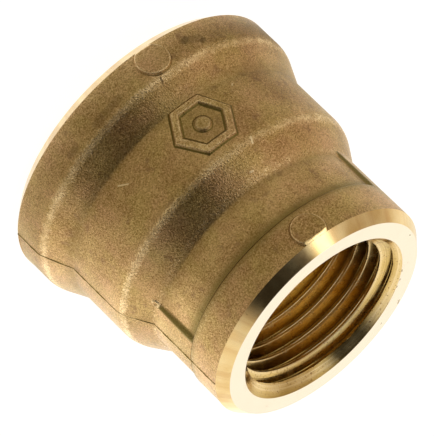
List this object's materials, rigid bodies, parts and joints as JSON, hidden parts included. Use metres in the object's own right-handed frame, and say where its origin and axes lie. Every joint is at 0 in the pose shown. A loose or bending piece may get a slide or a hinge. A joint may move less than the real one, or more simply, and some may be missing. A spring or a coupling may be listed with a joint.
{
  "type": "reducing coupling",
  "caption": "Round cast brass reducing coupling with a female pipe thread in each end, for joining a larger pipe to a smaller one.",
  "frame": {"origin": "centre of the large end's flat face", "axes": "+Z along the pipe axis, from the large end towards the small end; the mould parts on the XZ plane and the marked side looks towards -Y"},
  "size_m": [0.0354, 0.0355, 0.0305],
  "materials": {
    "cast_brass": "matt, shot-blasted casting",
    "turned_brass": "bright, turned"
  },
  "bodies": {
    "root": {"large_collar": "cast_brass", "large_barrel": "cast_brass", "reducing_shoulder": "cast_brass", "small_barrel": "cast_brass", "small_collar": "cast_brass", "pipe_stop": "cast_brass", "grip_rib_left": "cast_brass", "grip_rib_right": "cast_brass", "large_collar_pad": "cast_brass", "small_collar_pad": "cast_brass", "parting_seam_left": "cast_brass", "parting_seam_right": "cast_brass", "raised_emblem": "cast_brass", "large_end_ring": "turned_brass", "small_end_ring": "turned_brass", "large_end_thread": "turned_brass", "small_end_thread": "turned_brass"}
  },
  "joints": []
}
